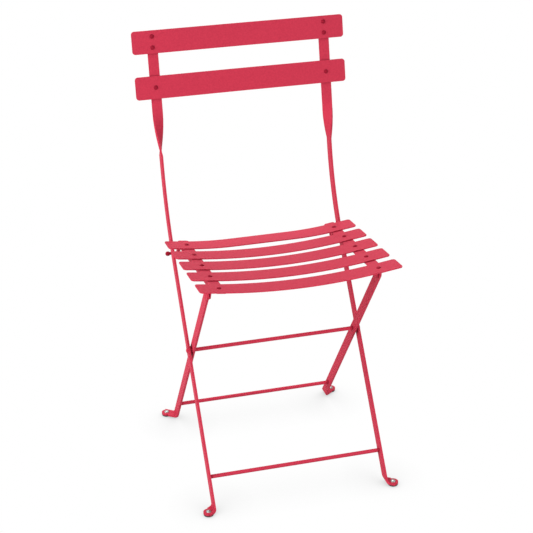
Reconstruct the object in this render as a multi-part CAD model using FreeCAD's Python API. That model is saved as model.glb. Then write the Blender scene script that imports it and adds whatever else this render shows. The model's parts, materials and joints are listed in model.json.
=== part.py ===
"""Folding metal bistro chair: flat-bar cross frame, slatted seat and slatted back.

Lengths are in millimetres. +Z is up and the chair faces -Y. Left and right are as seen from in
front, so the right-hand pieces are at +X. The floor is the plane Z = 0.
"""
import FreeCAD, Part
import math
import os

os.makedirs("parts", exist_ok=True)

V = FreeCAD.Vector

# Flat bar and how the two pairs of legs stand
bar_width = 20.0
bar_thickness = 4.0
long_bar_x = 170.5
pivot_washer_thickness = 3.8
pivot_height = 252.0
long_leg_lean = 35.9
short_leg_lean = 37.9
leg_top_margin = 4.0

# Long bar above the pivot
bend_corner_reach = 286.8
back_recline = 11.0
bend_radius = 440.0
twist_gap = 4.0
twist_length = 84.0
twist_steps = 6

# Back slats
back_slat_length = 420.0
back_slat_height = 44.0
back_slat_pitch = 86.8
lower_slat_reach = 233.9
back_slat_bow = 1.8
top_rivet_spacing = 21.2
bar_top_margin = 3.0
bar_top_corner = 5.0

# Seat
seat_slope = 5.5
seat_pivot_reach = 226.0
seat_slat_length = 375.0
seat_slat_width = 47.0
seat_slat_pitch = 65.3
front_slat_pitch = 68.6
front_slat_overhang = 42.2
seat_sag = 9.4
rear_slat_flat = 60.0
slat_thickness = 2.0
slat_corner = 6.0
slat_top_above_pivot = 26.0

# Seat rails
rail_flange = 20.0
rail_gauge = 2.5
rail_depth = 10.0
rail_washer_thickness = 2.2
rail_rear_overhang = 12.0
rail_front_setback = 6.0
rail_chamfer = 4.0
front_lug_radius = 7.0
front_lug_spread = 22.0
rear_lug_radius = 6.0
rear_lug_spread = 42.0

# Guide pins that run behind the long bars
guide_pin_gap = 8.0
guide_pin_drop = 4.3
guide_pin_radius = 3.0
guide_spigot_radius = 2.2
guide_knob_radius = 4.5
guide_knob_length = 8.0
guide_knob_gap = 0.8

# Round stretchers and pivots
rod_radius = 3.75
front_rod_reach = 244.0
rear_rod_reach = 259.4
spigot_radius = 3.0
spigot_clearance = 0.05
running_clearance = 0.08
pivot_head_radius = 5.5
pivot_head_height = 3.0
seat_pin_radius = 3.0
seat_pin_head_radius = 4.6
seat_pin_head_height = 1.4
washer_radius = 8.0
washer_sides = 16

# Rivets
rivet_radius = 2.0
rivet_head_radius = 4.0
rivet_head_height = 2.4
rivet_tail_radius = 3.2
rivet_tail_height = 1.2
rivet_clearance = 0.05
rivet_sides = 8

# Feet
glide_height = 3.0
glide_radius = 9.7
glide_chamfer = 0.5
glide_floor = 1.0
front_foot_reach = 9.3
rear_foot_reach = 16.5
foot_pad_radius = 10.0
foot_head_radius = 5.0
foot_head_height = 2.2
foot_bend_radius = 3.0
foot_bend_steps = 4

# Shapes that are only used to cut with reach this far past what they cut
cut_margin = 8.0
weld_bite = 0.2


def unit_up(lean):
    """Direction that rises while it leans to the rear by an angle in degrees."""
    a = math.radians(lean)
    return V(0, math.sin(a), math.cos(a))


def along(start, direction, distance):
    return start + direction * distance


def polygon_face(points):
    return Part.Face(Part.makePolygon(list(points) + [points[0]]))


def cylinder_x(x0, x1, centre, radius):
    return Part.makeCylinder(radius, x1 - x0, V(x0, centre.y, centre.z), V(1, 0, 0))


def ring(radius, z, sides):
    """Corners of a regular polygon about the Z axis."""
    corners = []
    for index in range(sides):
        a = 2 * math.pi * (index + 0.5) / sides
        corners.append(V(radius * math.cos(a), radius * math.sin(a), z))
    return corners


def turned(profile, sides=rivet_sides):
    """Round fastener with flat facets, from (radius, z) steps that go upwards."""
    rings = [ring(radius, z, sides) for radius, z in profile]
    faces = [polygon_face(rings[0]), polygon_face(rings[-1])]
    for low, high in zip(rings, rings[1:]):
        for index in range(sides):
            following = (index + 1) % sides
            faces.append(polygon_face([low[index], low[following], high[following], high[index]]))
    shell = Part.makeShell(faces)
    shell.sewShape()
    solid = Part.makeSolid(shell)
    if solid.Volume < 0:
        solid.reverse()
    return solid.removeSplitter()


def dome_steps(radius, height):
    """Steps of a round head that stands on z = 0."""
    return [(radius, 0), (0.87 * radius, 0.5 * height), (0.5 * radius, 0.88 * height), (0.2 * radius, height)]


def tail_steps(stack):
    """Steps of a rivet's closed end below a stack of plates, from its tip upwards."""
    tip = -stack - rivet_tail_height
    return [(0.6 * rivet_tail_radius, tip), (rivet_tail_radius, -stack), (rivet_radius, -stack)]


def rivet(stack):
    """Round-head rivet along +Z: its head stands on z = 0 and its tail closes below the stack."""
    head = dome_steps(rivet_head_radius, rivet_head_height)
    return turned(tail_steps(stack) + [(rivet_radius, 0)] + head)


def rivet_hole():
    """Cutter for a rivet's hole along Z."""
    radius = rivet_radius + rivet_clearance
    return turned([(radius, -cut_margin), (radius, cut_margin)])


def rounded_rectangle(length, width, corner):
    """Tall prism of a rectangle with rounded corners, centred on the origin in X and Y."""
    tall = 10 * cut_margin
    box = Part.makeBox(length, width, tall, V(-length / 2, -width / 2, -tall / 2))
    upright_edges = [e for e in box.Edges if abs(e.tangentAt(e.FirstParameter).z) > 0.9]
    return box.makeFillet(corner, upright_edges)


def strip_face(start, heading, thickness, pieces, plane):
    """Face of a bent strip: pieces are ("line", length) or ("arc", radius, turn in degrees).

    The strip lies in a plane given by two unit vectors. A positive turn goes from the first
    towards the second.
    """
    u, v = plane
    position = FreeCAD.Vector(start)
    angle = math.radians(heading)
    half = thickness / 2
    left = []
    right = []

    def normal(a):
        return u * -math.sin(a) + v * math.cos(a)

    for piece in pieces:
        if piece[0] == "line":
            end = position + (u * math.cos(angle) + v * math.sin(angle)) * piece[1]
            n = normal(angle) * half
            left.append(Part.makeLine(position + n, end + n))
            right.append(Part.makeLine(position - n, end - n))
            position = end
            continue
        radius, turn = piece[1], math.radians(piece[2])
        side = 1 if turn > 0 else -1
        centre = position + normal(angle) * side * radius
        spots = []
        for share in (0, 0.5, 1):
            n = normal(angle + turn * share)
            spots.append((centre - n * side * radius, n * half))
        left.append(Part.Arc(*[p + n for p, n in spots]).toShape())
        right.append(Part.Arc(*[p - n for p, n in spots]).toShape())
        position = spots[2][0]
        angle += turn
    cap_a = Part.makeLine(left[0].Vertexes[0].Point, right[0].Vertexes[0].Point)
    cap_b = Part.makeLine(left[-1].Vertexes[-1].Point, right[-1].Vertexes[-1].Point)
    edges = Part.sortEdges(left + right + [cap_a, cap_b])[0]
    return Part.Face(Part.Wire(edges))


# Points that the pieces share
side_plane = (V(0, 1, 0), V(0, 0, 1))
pivot = V(0, 0, pivot_height)
long_up = unit_up(long_leg_lean)
short_up = unit_up(-short_leg_lean)
back_up = unit_up(back_recline)
back_front = V(0, -back_up.z, back_up.y)
bend_corner = along(pivot, long_up, bend_corner_reach)
bend_turn = long_leg_lean - back_recline
bend_tangent = bend_radius * math.tan(math.radians(bend_turn / 2))
seat_pivot = along(pivot, short_up, seat_pivot_reach)
short_leg_x = long_bar_x - bar_thickness - pivot_washer_thickness
long_inner_x = long_bar_x - bar_thickness / 2
long_outer_x = long_bar_x + bar_thickness / 2
short_inner_x = short_leg_x - bar_thickness / 2
short_outer_x = short_leg_x + bar_thickness / 2
web_outer_x = short_inner_x - rail_washer_thickness
web_inner_x = web_outer_x - rail_gauge
rivet_x = web_outer_x - rail_flange / 2
foot_top = glide_height + bar_thickness
fold_z = foot_top + foot_bend_radius

# Seat frame: s runs to the rear along the slope, n is square to it
slope = math.radians(seat_slope)
seat_s = V(0, math.cos(slope), -math.sin(slope))
seat_n = V(0, math.sin(slope), math.cos(slope))
edge_angle = math.degrees(2 * math.atan(seat_sag / rivet_x))
edge_rise = math.tan(math.radians(edge_angle))
upright_share = math.cos(math.radians(edge_angle))
rail_top = slat_top_above_pivot - slat_thickness / upright_share
long_rear = V(0, long_up.z, -long_up.y)
pin_line = seat_pivot - seat_n * guide_pin_drop
pin_clear = bar_width / 2 + guide_pin_gap + guide_pin_radius
guide_pin_behind_pivot = (pin_clear - (pin_line - pivot).dot(long_rear)) / seat_s.dot(long_rear)
guide_pin = pin_line + seat_s * guide_pin_behind_pivot
slat_names = ["front", "second", "middle", "fourth", "rear"]


def slat_places():
    """Centres of the seat slats behind the seat pivot, front slat first."""
    places = [-front_slat_overhang]
    for name in slat_names[1:]:
        step = front_slat_pitch if name == "second" else seat_slat_pitch
        places.append(places[-1] + step)
    return places


slat_s = slat_places()
rail_front = slat_s[0] - seat_slat_width / 2 + rail_front_setback
rail_rear = slat_s[-1] + seat_slat_width / 2 + rail_rear_overhang


def place_on_seat(shape):
    """Carry a shape from the flat seat frame, with its origin at the seat pivot, to the chair."""
    turned_shape = shape.copy()
    turned_shape.rotate(V(0, 0, 0), V(1, 0, 0), -seat_slope)
    turned_shape.translate(seat_pivot)
    return turned_shape


def level_points(direction, z, x):
    """Front and rear edges of a bar through the pivot where it meets a level."""
    middle = along(pivot, direction, (z - pivot_height) / direction.z)
    half = bar_width / 2 / direction.z
    return V(x, middle.y - half, z), V(x, middle.y + half, z)


def foot_sections(bar_x, direction, reach):
    """Cross-sections down the bar, round the outward fold and out to the pad's centre."""
    inner = bar_x - bar_thickness / 2
    outer = bar_x + bar_thickness / 2
    drift = -direction.y / direction.z
    above = fold_z + foot_bend_radius
    front_in, rear_in = level_points(direction, above, inner)
    front_out, rear_out = level_points(direction, above, outer)
    sections = [[front_in, rear_in, rear_out, front_out]]
    front, rear = level_points(direction, fold_z, 0)
    middle_radius = foot_bend_radius + bar_thickness / 2
    wide_radius = foot_bend_radius + bar_thickness
    for step in range(foot_bend_steps + 1):
        turn = math.pi / 2 * step / foot_bend_steps
        shift = drift * middle_radius * turn
        corners = []
        for radius, edge in ((wide_radius, front), (wide_radius, rear), (foot_bend_radius, rear),
                             (foot_bend_radius, front)):
            x = outer + foot_bend_radius - radius * math.cos(turn)
            corners.append(V(x, edge.y + shift, fold_z - radius * math.sin(turn)))
        sections.append(corners)
    run = reach * direction.z
    sections.append([p + V(run, drift * run, 0) for p in sections[-1]])
    return sections


def foot_centre(bar_x, direction, reach):
    """Centre of a foot pad's underside."""
    front, rear = foot_sections(bar_x, direction, reach)[-1][:2]
    return V(front.x, (front.y + rear.y) / 2, glide_height)


def with_foot(bar, bar_x, direction, reach):
    """Add the folded foot and its round pad to a bar that ends just above the fold."""
    wires = [Part.makePolygon(s + [s[0]]) for s in foot_sections(bar_x, direction, reach)]
    strip = Part.makeLoft(wires, True, True)
    centre = foot_centre(bar_x, direction, reach)
    pad = Part.makeCylinder(foot_pad_radius, bar_thickness, centre)
    hole = rivet_hole()
    hole.translate(centre)
    return bar.fuse([strip, pad]).cut(hole)


def leaning_bar(bar_x, direction, top_pieces):
    """Flat bar from just above its fold, cut level there, through the pivot and on."""
    low_z = fold_z - foot_bend_radius
    low_reach = (low_z - pivot_height) / direction.z
    low = along(pivot, direction, low_reach) + V(bar_x - bar_thickness / 2, 0, 0)
    heading = math.degrees(math.atan2(direction.z, direction.y))
    pieces = [("line", top_pieces[0][1] - low_reach)] + top_pieces[1:]
    bar = strip_face(low, heading, bar_width, pieces, side_plane).extrude(V(bar_thickness, 0, 0))
    deep = 2 * bar_width
    cutter = Part.makeBox(4 * bar_width, 2 * pivot_height, deep)
    cutter.translate(V(bar_x - 2 * bar_width, low.y - pivot_height, fold_z + foot_bend_radius - deep))
    return bar.cut(cutter)


def twist_section(distance, share):
    """Rectangle across the long bar, turned by a share of a quarter from flat-side-out."""
    centre = along(bend_corner, back_up, distance) + V(long_bar_x, 0, 0)
    a = math.radians(90 * share)
    wide = back_front * -math.cos(a) + V(-math.sin(a), 0, 0)
    thin = back_front * -math.sin(a) + V(math.cos(a), 0, 0)
    w = wide * (bar_width / 2)
    t = thin * (bar_thickness / 2)
    corners = [centre + w + t, centre + w - t, centre - w - t, centre - w + t]
    return Part.makePolygon(corners + [corners[0]])


def back_post(start):
    """Top of the long bar, flat side forward, with rounded top corners."""
    top_reach = lower_slat_reach + back_slat_pitch + back_slat_height / 2 - bar_top_margin
    post = Part.Face(twist_section(start, 1)).extrude(back_up * (top_reach - start))
    top = [e for e in post.Edges if e.CenterOfMass.z > post.BoundBox.ZMax - bar_thickness]
    corners = [e for e in top if abs(e.tangentAt(e.FirstParameter).dot(back_front)) > 0.9]
    return post.makeFillet(bar_top_corner, corners)


def upright():
    """Long bar: foot, leaning leg, bend, quarter twist and back post."""
    straight = bend_corner_reach - bend_tangent
    pieces = [("line", straight), ("arc", bend_radius, bend_turn), ("line", twist_gap)]
    lower = leaning_bar(long_bar_x, long_up, pieces)
    start = bend_tangent + twist_gap
    wires = []
    for step in range(twist_steps + 1):
        share = step / twist_steps
        wires.append(twist_section(start + twist_length * share, share))
    twist = Part.makeLoft(wires, True, True)
    body = lower.fuse([twist, back_post(start + twist_length)])
    body = with_foot(body, long_bar_x, long_up, front_foot_reach)
    bore = spigot_radius + running_clearance
    cuts = [cylinder_x(long_inner_x - cut_margin, long_outer_x + cut_margin, pivot, bore)]
    cuts += [back_rivet_frame(rivet_hole(), place) for place in back_rivet_places((1,))]
    return body.cut(cuts).removeSplitter()


def short_leg():
    """Short bar from the rear foot to the seat pivot, with a round top."""
    top_reach = seat_pivot_reach + leg_top_margin
    bar = leaning_bar(short_leg_x, short_up, [("line", top_reach)])
    top = cylinder_x(short_inner_x, short_outer_x, along(pivot, short_up, top_reach), bar_width / 2)
    body = with_foot(bar.fuse(top), short_leg_x, short_up, rear_foot_reach)
    x0 = short_inner_x - cut_margin
    x1 = short_outer_x + cut_margin
    crossing = cylinder_x(x0, x1, pivot, spigot_radius + spigot_clearance)
    seat_hole = cylinder_x(x0, x1, seat_pivot, seat_pin_radius + running_clearance)
    return body.cut([crossing, seat_hole]).removeSplitter()


def back_rivet_places(sides=(-1, 1)):
    """Rivet centres on the back posts: a pair in the top slat, one in the lower slat."""
    top = lower_slat_reach + back_slat_pitch
    reaches = [lower_slat_reach, top - top_rivet_spacing / 2, top + top_rivet_spacing / 2]
    places = []
    for side in sides:
        for reach in reaches:
            places.append(along(bend_corner, back_up, reach) + V(side * long_bar_x, 0, 0))
    return places


def back_rivet_frame(shape, place):
    """Turn a shape made along +Z to face forward, square to the back, and move it."""
    turned_shape = shape.copy()
    turned_shape.rotate(V(0, 0, 0), V(1, 0, 0), 90 - back_recline)
    turned_shape.translate(place)
    return turned_shape


def back_slat(reach):
    """Flat slat across the posts, bowed a little to the rear in the middle."""
    run = (long_bar_x - bar_width) / 2
    turn = 2 * math.degrees(math.atan(back_slat_bow / 2 / run))
    radius = run / math.sin(math.radians(turn))
    end = back_slat_length / 2 - 2 * run
    pieces = [("line", end), ("arc", radius, turn), ("arc", radius, -turn),
              ("arc", radius, -turn), ("arc", radius, turn), ("line", end)]
    start = V(-back_slat_length / 2, -(bar_thickness + slat_thickness) / 2, -back_slat_height / 2)
    face = strip_face(start, 0, slat_thickness, pieces, (V(1, 0, 0), V(0, 1, 0)))
    plate = face.extrude(V(0, 0, back_slat_height))
    outline = rounded_rectangle(back_slat_length, back_slat_height, slat_corner)
    outline.rotate(V(0, 0, 0), V(1, 0, 0), 90)
    plate = plate.common(outline)
    plate.rotate(V(0, 0, 0), V(1, 0, 0), -back_recline)
    plate.translate(along(bend_corner, back_up, reach))
    return plate.cut([back_rivet_frame(rivet_hole(), place) for place in back_rivet_places()])


def back_rivets():
    """Rivets that hold the two back slats to the posts."""
    front_face = back_front * (bar_thickness / 2 + slat_thickness)
    one = rivet(slat_thickness + bar_thickness)
    return Part.makeCompound([back_rivet_frame(one, place + front_face) for place in back_rivet_places()])


def seat_rivet_frame(shape, side, s):
    """Stand a shape made along +Z on a slat, square to its sloping end."""
    turned_shape = shape.copy()
    turned_shape.rotate(V(0, 0, 0), V(0, 1, 0), -side * edge_angle)
    turned_shape.translate(V(side * rivet_x, s, slat_top_above_pivot))
    return turned_shape


def seat_slat(centre_s, flat):
    """Slat with straight sloping ends that sags between them, flat over part of its middle."""
    radius = (rivet_x - flat) / math.sin(math.radians(edge_angle))
    overhang = seat_slat_length / 2 - rivet_x
    end = ("line", overhang / upright_share)
    arc = ("arc", radius, edge_angle)
    pieces = [end, arc, ("line", 2 * flat), arc, end] if flat > 0 else [end, arc, arc, end]
    middle_n = slat_top_above_pivot - slat_thickness / 2 / upright_share
    start = V(-seat_slat_length / 2, -seat_slat_width / 2, middle_n + overhang * edge_rise)
    face = strip_face(start, -edge_angle, slat_thickness, pieces, (V(1, 0, 0), V(0, 0, 1)))
    plate = face.extrude(V(0, seat_slat_width, 0))
    plate = plate.common(rounded_rectangle(seat_slat_length, seat_slat_width, slat_corner))
    plate = plate.cut([seat_rivet_frame(rivet_hole(), side, 0) for side in (-1, 1)])
    plate.translate(V(0, centre_s, 0))
    return place_on_seat(plate)


def seat_rivets():
    """Rivets that hold the seat slats to the rails."""
    one = rivet(slat_thickness + rail_gauge)
    solids = []
    for s in slat_s:
        for side in (-1, 1):
            solids.append(place_on_seat(seat_rivet_frame(one, side, s)))
    return Part.makeCompound(solids)


def tangent_point(point, centre, radius, side):
    """Where a line from a point touches a circle, in the (s, n) plane."""
    ds, dn = point[0] - centre[0], point[1] - centre[1]
    angle = math.atan2(dn, ds) + side * math.acos(radius / math.hypot(ds, dn))
    return centre[0] + radius * math.cos(angle), centre[1] + radius * math.sin(angle)


def lug(front_s, rear_s, centre, radius):
    """Rounded ear that hangs from the flange between two places and around a pin."""
    high = rail_top - rail_gauge
    front_touch = tangent_point((front_s, high), centre, radius, 1)
    rear_touch = tangent_point((rear_s, high), centre, radius, -1)
    outline = [(front_s, high), (rear_s, high), rear_touch, centre, front_touch]
    ear = polygon_face([V(web_inner_x, s, n) for s, n in outline]).extrude(V(rail_gauge, 0, 0))
    return ear.fuse(cylinder_x(web_inner_x, web_outer_x, V(0, centre[0], centre[1]), radius))


def rail_flange_plate():
    """Sloping flange that the slats are riveted to, with clipped corners."""
    half = rail_flange / 2
    thick = rail_gauge / upright_share
    low = rail_top - half * edge_rise
    high = rail_top + half * edge_rise
    section = [(-half, low), (half, high), (half, high - thick), (-half, low - thick)]
    face = polygon_face([V(rivet_x + x, rail_front, n) for x, n in section])
    plate = face.extrude(V(0, rail_rear - rail_front, 0))
    trim = rounded_rectangle(rail_flange, rail_rear - rail_front, rail_chamfer)
    trim.translate(V(rivet_x, (rail_front + rail_rear) / 2, rail_top))
    return plate.common(trim)


def seat_rail():
    """Angle rail: a sloping flange under the slats and an upright web with two ears."""
    web_front = -front_lug_spread
    web_rear = rail_rear - rail_chamfer
    web = Part.makeBox(rail_gauge, web_rear - web_front, rail_depth - rail_gauge / 2)
    web.translate(V(web_inner_x, web_front, rail_top - rail_depth))
    pin_place = (guide_pin_behind_pivot, -guide_pin_drop)
    front_lug = lug(-front_lug_spread, front_lug_spread, (0, 0), front_lug_radius)
    rear_root = min(pin_place[0] - rear_lug_spread, web_rear - rail_depth)
    rear_lug = lug(rear_root, web_rear, pin_place, rear_lug_radius)
    body = rail_flange_plate().fuse([web, front_lug, rear_lug])
    x0 = web_inner_x - cut_margin
    x1 = web_outer_x + cut_margin
    cuts = [seat_rivet_frame(rivet_hole(), 1, s) for s in slat_s]
    cuts.append(cylinder_x(x0, x1, V(0, 0, 0), seat_pin_radius + spigot_clearance))
    cuts.append(cylinder_x(x0, x1, V(0, *pin_place), guide_spigot_radius + spigot_clearance))
    return place_on_seat(body.cut(cuts).removeSplitter())


def domed_head(x, centre, radius, height, outward):
    """Round head that stands on a plane of constant X."""
    cap = turned(dome_steps(radius, height), washer_sides)
    cap.rotate(V(0, 0, 0), V(0, 1, 0), 90 * outward)
    cap.translate(V(x, centre.y, centre.z))
    return cap


def guide_pin_shape():
    """Shouldered pin in the rail's rear ear, with a round knob outside the long bar."""
    knob = long_outer_x + guide_knob_gap
    knob_end = knob + guide_knob_length
    steps = [(0.5 * guide_pin_radius, web_inner_x - rivet_tail_height), (guide_pin_radius, web_inner_x),
             (guide_spigot_radius, web_inner_x), (guide_spigot_radius, web_outer_x),
             (guide_pin_radius, web_outer_x), (guide_pin_radius, knob), (0.7 * guide_knob_radius, knob),
             (guide_knob_radius, knob + 0.2 * guide_knob_length),
             (guide_knob_radius, knob + 0.6 * guide_knob_length),
             (0.8 * guide_knob_radius, knob + 0.85 * guide_knob_length), (0.4 * guide_knob_radius, knob_end)]
    pin = turned(steps, washer_sides)
    pin.rotate(V(0, 0, 0), V(0, 1, 0), 90)
    pin.translate(guide_pin)
    return pin


def seat_pin_shape():
    """Rivet that joins a short leg's top to the rail's front ear."""
    shank = cylinder_x(web_inner_x - weld_bite, short_outer_x + weld_bite, seat_pivot, seat_pin_radius)
    tail = domed_head(web_inner_x, seat_pivot, seat_pin_head_radius, rivet_tail_height, -1)
    cap = domed_head(short_outer_x, seat_pivot, seat_pin_head_radius, seat_pin_head_height, 1)
    return shank.fuse([tail, cap]).removeSplitter()


def pivot_rod():
    """Cross rod between the short legs, with riveted spigots that carry the long bars."""
    rod = cylinder_x(-short_inner_x, short_inner_x, pivot, rod_radius)
    reach = long_outer_x + weld_bite
    spigot = cylinder_x(-reach, reach, pivot, spigot_radius)
    heads = []
    for side in (-1, 1):
        heads.append(domed_head(side * long_outer_x, pivot, pivot_head_radius, pivot_head_height, side))
    return rod.fuse([spigot] + heads).removeSplitter()


def washer(x0, x1, centre, bore):
    """Spacer ring between two bars; its bore's flats clear the pin."""
    inner = bore / math.cos(math.pi / washer_sides)
    steps = [(washer_radius, x0), (washer_radius, x1)]
    hole = [(inner, x0 - cut_margin), (inner, x1 + cut_margin)]
    body = turned(steps, washer_sides).cut(turned(hole, washer_sides))
    body.rotate(V(0, 0, 0), V(0, 1, 0), 90)
    body.translate(centre)
    return body


def stretcher(inner, centre):
    return cylinder_x(-inner, inner, centre, rod_radius)


def glide(centre):
    """Low foot button under a pad, with a blind hole for the foot rivet."""
    steps = [(glide_radius - glide_chamfer, 0), (glide_radius, glide_chamfer), (glide_radius, glide_height)]
    radius = rivet_radius + rivet_clearance
    hole = turned([(radius, glide_floor), (radius, glide_height + cut_margin)])
    body = turned(steps, washer_sides).cut(hole)
    body.translate(V(centre.x, centre.y, 0))
    return body


def foot_rivet(centre):
    """Bright rivet through a pad into its glide."""
    head = [(radius, foot_top + z) for radius, z in dome_steps(foot_head_radius, foot_head_height)]
    body = turned([(rivet_radius, glide_floor + weld_bite), (rivet_radius, foot_top)] + head)
    body.translate(V(centre.x, centre.y, 0))
    return body


def mirrored(shape):
    return shape.mirror(V(0, 0, 0), V(1, 0, 0))


def pair(shape):
    return Part.makeCompound([shape, mirrored(shape)])


def both_sides(name, shape):
    return {"right_" + name: shape, "left_" + name: mirrored(shape)}


def back_frame():
    """Nodes that move with the long bars."""
    front_foot = foot_centre(long_bar_x, long_up, front_foot_reach)
    nodes = both_sides("upright", upright())
    nodes["lower_back_slat"] = back_slat(lower_slat_reach)
    nodes["top_back_slat"] = back_slat(lower_slat_reach + back_slat_pitch)
    nodes["back_slat_rivets"] = back_rivets()
    nodes["front_stretcher"] = stretcher(long_inner_x, along(pivot, long_up, -front_rod_reach))
    nodes["front_foot_glides"] = pair(glide(front_foot))
    nodes["front_foot_rivets"] = pair(foot_rivet(front_foot))
    return nodes


def leg_frame():
    """Nodes that move with the short legs."""
    rear_foot = foot_centre(short_leg_x, short_up, rear_foot_reach)
    nodes = both_sides("short_leg", short_leg())
    nodes["pivot_rod"] = pivot_rod()
    ring_shape = washer(short_outer_x, long_inner_x, pivot, spigot_radius + spigot_clearance)
    nodes.update(both_sides("pivot_washer", ring_shape))
    nodes["rear_stretcher"] = stretcher(short_inner_x, along(pivot, short_up, -rear_rod_reach))
    nodes["rear_foot_glides"] = pair(glide(rear_foot))
    nodes["rear_foot_rivets"] = pair(foot_rivet(rear_foot))
    return nodes


def seat():
    """Nodes that move with the seat."""
    nodes = both_sides("seat_rail", seat_rail())
    for name, s in zip(slat_names, slat_s):
        nodes[name + "_seat_slat"] = seat_slat(s, rear_slat_flat if name == "rear" else 0)
    nodes["seat_slat_rivets"] = seat_rivets()
    nodes.update(both_sides("guide_pin", guide_pin_shape()))
    nodes.update(both_sides("seat_pivot_pin", seat_pin_shape()))
    ring_shape = washer(web_outer_x, short_inner_x, seat_pivot, seat_pin_radius + spigot_clearance)
    nodes.update(both_sides("seat_pivot_washer", ring_shape))
    return nodes


def centre_front_to_back(nodes):
    """Move the chair so that the middle of its depth is at Y = 0, and return the shift."""
    box = Part.makeCompound(list(nodes.values())).BoundBox
    shift = V(0, -(box.YMin + box.YMax) / 2, 0)
    for shape in nodes.values():
        shape.translate(shift)
    return shift


all_nodes = {**back_frame(), **leg_frame(), **seat()}
shift = centre_front_to_back(all_nodes)
for name, shape in all_nodes.items():
    shape.exportStep("parts/" + name + ".step")

total = Part.makeCompound(list(all_nodes.values())).BoundBox
print("nodes", len(all_nodes), "box", round(total.XLength, 2), round(total.YLength, 2), round(total.ZLength, 2))
places = {"leg pivot": pivot, "seat pivot": seat_pivot, "guide pin": guide_pin}
places["front foot"] = foot_centre(long_bar_x, long_up, front_foot_reach)
places["rear foot"] = foot_centre(short_leg_x, short_up, rear_foot_reach)
for name, place in places.items():
    moved = place + shift
    print(name, round(moved.x, 3), round(moved.y, 3), round(moved.z, 3))
for name, shape in all_nodes.items():
    if not shape.isValid() or shape.Volume <= 0:
        print("not a valid solid:", name)
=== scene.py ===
import json
import math

import bmesh
import bpy
from mathutils import Matrix, Vector


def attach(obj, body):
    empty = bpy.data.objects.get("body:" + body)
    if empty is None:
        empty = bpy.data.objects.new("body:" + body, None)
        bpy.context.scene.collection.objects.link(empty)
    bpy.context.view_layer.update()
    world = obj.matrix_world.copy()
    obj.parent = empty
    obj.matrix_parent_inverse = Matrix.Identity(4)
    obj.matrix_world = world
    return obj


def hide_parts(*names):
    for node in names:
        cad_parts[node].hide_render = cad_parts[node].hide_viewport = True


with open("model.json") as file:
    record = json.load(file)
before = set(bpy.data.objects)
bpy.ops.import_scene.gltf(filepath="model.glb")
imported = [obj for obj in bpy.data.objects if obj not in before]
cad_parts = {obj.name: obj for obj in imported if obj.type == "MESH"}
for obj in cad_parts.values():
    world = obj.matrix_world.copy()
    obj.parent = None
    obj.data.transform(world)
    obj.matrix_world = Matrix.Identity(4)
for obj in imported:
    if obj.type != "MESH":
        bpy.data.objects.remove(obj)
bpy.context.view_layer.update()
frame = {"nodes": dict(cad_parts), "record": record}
nodes = frame["nodes"]

# Angles of the CAD part that the round rivets follow, in degrees
BACK_RECLINE = 11.0
SEAT_SLOPE = 5.5
SEAT_EDGE_ANGLE = 7.25

# Round rivets in metres: the shank's radius, then radius and height of each kind of head
SHANK_RADIUS = 0.002
SLAT_HEAD = (0.004, 0.0024)
FOOT_HEAD = (0.005, 0.0022)
LATHE_SIDES = 40
DOME_STEPS = 9
CROWN_RADIUS = 1e-6
WELD_REACH = 1e-6

# Camera solved from the photo: place in metres, angles in degrees
CAMERA_PLACE = Vector((-0.6883, -2.5271, 1.5779))
CAMERA_AZIMUTH = -15.05
CAMERA_ELEVATION = 24.23
CAMERA_ROLL = -0.91
CAMERA_LENS_MM = 101.31
CAMERA_SENSOR_MM = 36.0

# Red coat: two close tones, darker copies of them that paint shade on rivet heads and guide
# pins, and the painted shade in corners and between parts
RED = (0.68, 0.05, 0.093, 1.0)
RED_DEEP = (0.5, 0.028, 0.062, 1.0)
# Painted shade: darker copies of the two coat tones, given to rivet heads and guide pins
PAINTED_SHADE_RED = (0.36, 0.012, 0.034, 1.0)
PAINTED_SHADE_RED_DEEP = (0.28, 0.007, 0.024, 1.0)
# Painted shade: the dark red the coat turns to where surfaces close in, with its reach in metres
# and samples
CORNER_PAINTED_SHADE_RED = (0.14, 0.0, 0.012, 1.0)
CORNER_SHADE_REACH = 0.008
CORNER_SHADE_SAMPLES = 12
COAT_ROUGHNESS = 0.58
COAT_SPECULAR = 0.07

# Noise of the coat: features per metre and detail. The peel's depth is in metres.
MOTTLE_NOISE = (330.0, 3.0)
PEEL_NOISE = (650.0, 2.0)
PEEL_STRENGTH = 0.14
PEEL_DEPTH = 0.0003

ZINC = (0.3, 0.32, 0.31, 1.0)
ZINC_ROUGHNESS = 0.35
ZINC_METALLIC = 0.9
BLACK = (0.022, 0.022, 0.024, 1.0)
PLASTIC_ROUGHNESS = 0.55

# Floor and backdrop, lengths in metres: both look white and light the chair with less
FLOOR_SIDE = 12
FLOOR_DROP = 0.0005
FLOOR_TONE = (0.45, 0.45, 0.45, 1.0)
WHITE = (1.0, 1.0, 1.0, 1.0)
WHITE_STRENGTH = 1.0
FILL_STRENGTH = 0.34
# Painted shadow round the feet: its grey, its reach in metres and its samples
SHADOW_TONE = (0.5, 0.5, 0.5, 1.0)
SHADOW_REACH = 0.09
SHADOW_SAMPLES = 16

# Softboxes: name, place and side in metres, power in watts
LIGHTS = [
    ("top", (-0.2, -0.6, 3.0), 0.8, 8),
    ("left", (-2.2, -0.3, 1.3), 1.8, 44),
    ("front_left", (-1.4, -2.2, 0.8), 1.0, 15),
    ("front_right", (1.2, -2.2, 0.4), 1.0, 25),
    ("back_top", (0.2, 1.8, 2.4), 1.5, 44),
]
LIT_POINT = Vector((0, 0, 0.4))

# Sockets of a Mix node that mixes colours
MIX_FACTOR = 0
MIX_FIRST = 6
MIX_SECOND = 7
MIX_RESULT = 2


def new_material(name):
    """Empty node material with its output; returns the material, its nodes and links."""
    material = bpy.data.materials.new(name)
    material.use_nodes = True
    tree = material.node_tree
    tree.nodes.clear()
    tree.nodes.new("ShaderNodeOutputMaterial")
    return material, tree.nodes, tree.links


def surface_output(tree_nodes):
    return tree_nodes["Material Output"].inputs["Surface"]


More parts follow.
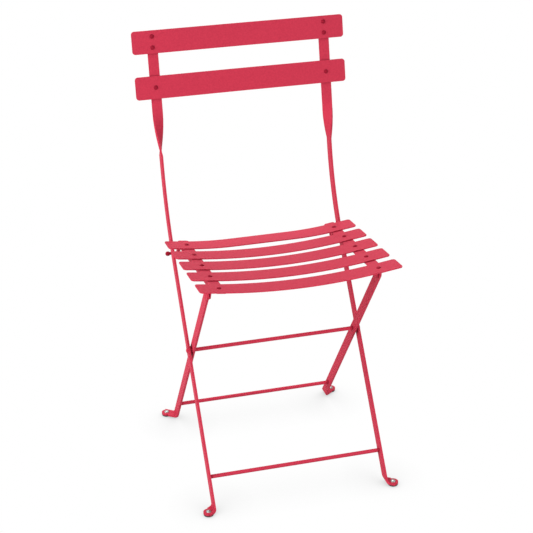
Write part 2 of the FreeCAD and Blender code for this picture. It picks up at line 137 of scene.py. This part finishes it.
def noise(tree_nodes, links, scale, detail):
    """Socket of a noise in the object's own coordinates, in features per metre."""
    coords = tree_nodes.new("ShaderNodeTexCoord")
    texture = tree_nodes.new("ShaderNodeTexNoise")
    texture.inputs["Scale"].default_value = scale
    texture.inputs["Detail"].default_value = detail
    links.new(coords.outputs["Object"], texture.inputs["Vector"])
    return texture.outputs["Fac"]


def openness(tree_nodes, reach, samples):
    """Socket that is 1 in the open and falls towards 0 where surfaces within reach close in."""
    occlusion = tree_nodes.new("ShaderNodeAmbientOcclusion")
    occlusion.samples = samples
    occlusion.inputs["Distance"].default_value = reach
    return occlusion.outputs["AO"]


def colour_mix(tree_nodes, links, factor, first, second):
    """Socket of a mix of two colours; the second may be another node's socket."""
    mix = tree_nodes.new("ShaderNodeMix")
    mix.data_type = "RGBA"
    mix.inputs[MIX_FIRST].default_value = first
    if isinstance(second, tuple):
        mix.inputs[MIX_SECOND].default_value = second
    else:
        links.new(second, mix.inputs[MIX_SECOND])
    links.new(factor, mix.inputs[MIX_FACTOR])
    return mix.outputs[MIX_RESULT]


def powder_coat(name, light, deep):
    """Textured powder coat: two close tones, painted shade in corners and between parts, and a
    fine orange-peel bump.
    """
    material, tree_nodes, links = new_material(name)
    shader = tree_nodes.new("ShaderNodeBsdfPrincipled")
    shader.inputs["Roughness"].default_value = COAT_ROUGHNESS
    shader.inputs["Specular IOR Level"].default_value = COAT_SPECULAR
    mottle = noise(tree_nodes, links, *MOTTLE_NOISE)
    tone = colour_mix(tree_nodes, links, mottle, deep, light)
    # Painted shade: the colour turns towards a dark red where surfaces close in, in corners and
    # between parts
    corner_shade = openness(tree_nodes, CORNER_SHADE_REACH, CORNER_SHADE_SAMPLES)
    colour = colour_mix(tree_nodes, links, corner_shade, CORNER_PAINTED_SHADE_RED, tone)
    links.new(colour, shader.inputs["Base Color"])
    bump = tree_nodes.new("ShaderNodeBump")
    bump.inputs["Strength"].default_value = PEEL_STRENGTH
    bump.inputs["Distance"].default_value = PEEL_DEPTH
    links.new(noise(tree_nodes, links, *PEEL_NOISE), bump.inputs["Height"])
    links.new(bump.outputs["Normal"], shader.inputs["Normal"])
    links.new(shader.outputs["BSDF"], surface_output(tree_nodes))
    return material


def plain_finish(name, colour, roughness, metallic):
    """Material of one even colour."""
    material, tree_nodes, links = new_material(name)
    shader = tree_nodes.new("ShaderNodeBsdfPrincipled")
    shader.inputs["Base Color"].default_value = colour
    shader.inputs["Roughness"].default_value = roughness
    shader.inputs["Metallic"].default_value = metallic
    links.new(shader.outputs["BSDF"], surface_output(tree_nodes))
    return material


coat = powder_coat("red powder coat", RED, RED_DEEP)
# Same coat with darker tones: painted shade on rivet heads and guide pins
rivet_painted_shade_coat = powder_coat("red coat with painted shade on rivet heads", PAINTED_SHADE_RED, PAINTED_SHADE_RED_DEEP)
materials = {
    "red_paint": coat,
    "rivet_steel": plain_finish("zinc plate", ZINC, ZINC_ROUGHNESS, ZINC_METALLIC),
    "black_plastic": plain_finish("black plastic", BLACK, PLASTIC_ROUGHNESS, 0.0),
}
slots = {part["node"]: part["material_slot"] for part in frame["record"]["subparts"]}


def paint(obj, node_name):
    """Give an object the finish of a node.

    Rivets and guide pins in the red coat get the darker copy of the coat, which is painted
    shade.
    """
    finish = materials[slots[node_name]]
    # Painted shade: rivet heads and guide pins get the darker red copy of the coat
    if finish is coat and ("rivets" in node_name or "guide_pin" in node_name):
        finish = rivet_painted_shade_coat
    obj.data.materials.clear()
    obj.data.materials.append(finish)


for node_name, node in nodes.items():
    paint(node, node_name)


def islands(obj):
    """Vertex positions of each separate solid in a node."""
    mesh = bmesh.new()
    mesh.from_mesh(obj.data)
    bmesh.ops.remove_doubles(mesh, verts=mesh.verts, dist=WELD_REACH)
    groups = []
    seen = set()
    for start in mesh.verts:
        if start.index in seen:
            continue
        stack = [start]
        seen.add(start.index)
        group = []
        while stack:
            vert = stack.pop()
            group.append(vert.co.copy())
            for edge in vert.link_edges:
                other = edge.other_vert(vert)
                if other.index not in seen:
                    seen.add(other.index)
                    stack.append(other)
        groups.append(group)
    mesh.free()
    return groups


def dome_profile(radius, height):
    """Quarter-ellipse head profile from its rim to its crown."""
    profile = []
    for step in range(DOME_STEPS + 1):
        a = math.pi / 2 * step / DOME_STEPS
        profile.append((radius * math.cos(a), height * math.sin(a)))
    return profile


def lathe(mesh, profile, place, axis):
    """Add a smooth solid of revolution to a bmesh; the profile runs from bottom to top."""
    turn = Vector((0, 0, 1)).rotation_difference(axis).to_matrix().to_4x4()
    carry = Matrix.Translation(place) @ turn
    rings = []
    for radius, height in profile:
        reach = max(radius, CROWN_RADIUS)
        ring = []
        for side in range(LATHE_SIDES):
            a = 2 * math.pi * side / LATHE_SIDES
            spot = Vector((reach * math.cos(a), reach * math.sin(a), height))
            ring.append(mesh.verts.new(carry @ spot))
        rings.append(ring)
    for low, high in zip(rings, rings[1:]):
        for side in range(LATHE_SIDES):
            following = (side + 1) % LATHE_SIDES
            face = mesh.faces.new((low[side], low[following], high[following], high[side]))
            face.smooth = True
    mesh.faces.new(list(reversed(rings[0])))
    mesh.faces.new(rings[-1])


def rivet_profile(low, high, head_radius, head_height):
    """Shank from low to the head's underside, then a round head up to high."""
    seat = high - head_height
    dome = [(radius, seat + height) for radius, height in dome_profile(head_radius, head_height)]
    return [(SHANK_RADIUS, low), (SHANK_RADIUS, seat)] + dome


def round_rivets(node_name, body, axis_at, head_radius, head_height):
    """Stand smooth round-headed rivets in the places of a node's faceted ones."""
    mesh = bmesh.new()
    for group in islands(nodes[node_name]):
        middle = sum(group, Vector()) / len(group)
        axis = axis_at(middle)
        reach = [(point - middle).dot(axis) for point in group]
        profile = rivet_profile(min(reach), max(reach), head_radius, head_height)
        lathe(mesh, profile, middle, axis)
    data = bpy.data.meshes.new(node_name + "_round")
    mesh.to_mesh(data)
    mesh.free()
    obj = bpy.data.objects.new(node_name + "_round", data)
    bpy.context.scene.collection.objects.link(obj)
    paint(obj, node_name)
    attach(obj, body)
    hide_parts(node_name)


def back_axis(place):
    """Forward, square to the reclined back."""
    a = math.radians(BACK_RECLINE)
    return Vector((0, -math.cos(a), math.sin(a)))


def seat_axis(place):
    """Up, square to the sloping end of a slat."""
    side = 1 if place.x > 0 else -1
    tilt = Matrix.Rotation(math.radians(-side * SEAT_EDGE_ANGLE), 3, "Y")
    slope = Matrix.Rotation(math.radians(-SEAT_SLOPE), 3, "X")
    return slope @ tilt @ Vector((0, 0, 1))


def up_axis(place):
    return Vector((0, 0, 1))


round_rivets("back_slat_rivets", "back_frame", back_axis, *SLAT_HEAD)
round_rivets("seat_slat_rivets", "seat", seat_axis, *SLAT_HEAD)
round_rivets("front_foot_rivets", "back_frame", up_axis, *FOOT_HEAD)
round_rivets("rear_foot_rivets", "leg_frame", up_axis, *FOOT_HEAD)


def seen_rays(tree_nodes, links):
    """Socket that is one for the camera's rays and for what polished pieces mirror.

    It is zero for the light that falls on the chair.
    """
    ray = tree_nodes.new("ShaderNodeLightPath")
    mirrored = tree_nodes.new("ShaderNodeMath")
    links.new(ray.outputs["Is Glossy Ray"], mirrored.inputs[0])
    links.new(ray.outputs["Is Transmission Ray"], mirrored.inputs[1])
    total = tree_nodes.new("ShaderNodeMath")
    total.use_clamp = True
    links.new(ray.outputs["Is Camera Ray"], total.inputs[0])
    links.new(mirrored.outputs["Value"], total.inputs[1])
    return total.outputs["Value"]


def mix_seen(tree_nodes, links, lighting, seen, surface):
    """Show one shader to the seen rays and the other to the light, at a surface input."""
    mix = tree_nodes.new("ShaderNodeMixShader")
    links.new(seen_rays(tree_nodes, links), mix.inputs["Fac"])
    links.new(lighting, mix.inputs[1])
    links.new(seen, mix.inputs[2])
    links.new(mix.outputs["Shader"], surface)


def add_floor():
    """Floor that looks white with a faint painted shadow round the feet, and throws soft light
    back.
    """
    bpy.ops.mesh.primitive_plane_add(size=FLOOR_SIDE, location=(0, 0, -FLOOR_DROP))
    floor = bpy.context.object
    floor.name = "floor"
    material, tree_nodes, links = new_material("floor")
    grey = tree_nodes.new("ShaderNodeBsdfDiffuse")
    grey.inputs["Color"].default_value = FLOOR_TONE
    # Painted shadow: the white the camera sees turns grey where the chair closes in over the
    # floor
    painted_floor_shadow = openness(tree_nodes, SHADOW_REACH, SHADOW_SAMPLES)
    white = tree_nodes.new("ShaderNodeEmission")
    links.new(colour_mix(tree_nodes, links, painted_floor_shadow, SHADOW_TONE, WHITE), white.inputs["Color"])
    white.inputs["Strength"].default_value = WHITE_STRENGTH
    mix_seen(tree_nodes, links, grey.outputs["BSDF"], white.outputs["Emission"],
             surface_output(tree_nodes))
    floor.data.materials.append(material)


def backdrop(tree, strength):
    """Socket of a white background of some strength."""
    background = tree.nodes.new("ShaderNodeBackground")
    background.inputs["Color"].default_value = WHITE
    background.inputs["Strength"].default_value = strength
    return background.outputs["Background"]


def add_world():
    """White backdrop to the camera, a softer white to everything else."""
    world = bpy.data.worlds.new("studio")
    bpy.context.scene.world = world
    world.use_nodes = True
    tree = world.node_tree
    tree.nodes.clear()
    output = tree.nodes.new("ShaderNodeOutputWorld")
    seen = backdrop(tree, WHITE_STRENGTH)
    fill = backdrop(tree, FILL_STRENGTH)
    mix_seen(tree.nodes, tree.links, fill, seen, output.inputs["Surface"])


def add_area_light(name, place, size, power):
    """Square softbox at a place, turned to the middle of the chair."""
    data = bpy.data.lights.new(name, "AREA")
    data.size = size
    data.energy = power
    light = bpy.data.objects.new(name, data)
    bpy.context.scene.collection.objects.link(light)
    light.location = place
    light.rotation_euler = (LIT_POINT - Vector(place)).to_track_quat("-Z", "Y").to_euler()


def add_camera():
    """Camera at the photo's place, turned by azimuth, elevation and roll."""
    a = math.radians(CAMERA_AZIMUTH)
    e = math.radians(CAMERA_ELEVATION)
    r = math.radians(CAMERA_ROLL)
    back = Vector((math.sin(a) * math.cos(e), -math.cos(a) * math.cos(e), math.sin(e)))
    right = Vector((math.cos(a), math.sin(a), 0))
    up = back.cross(right)
    rolled_right = right * math.cos(r) + up * math.sin(r)
    rolled_up = up * math.cos(r) - right * math.sin(r)
    turn = Matrix((rolled_right, rolled_up, back)).transposed()
    data = bpy.data.cameras.new("camera")
    data.sensor_width = CAMERA_SENSOR_MM
    data.lens = CAMERA_LENS_MM
    camera = bpy.data.objects.new("camera", data)
    bpy.context.scene.collection.objects.link(camera)
    camera.matrix_world = Matrix.Translation(CAMERA_PLACE) @ turn.to_4x4()
    bpy.context.scene.camera = camera


add_floor()
add_world()
for light in LIGHTS:
    add_area_light(*light)
add_camera()
bpy.context.scene.view_settings.view_transform = "Standard"
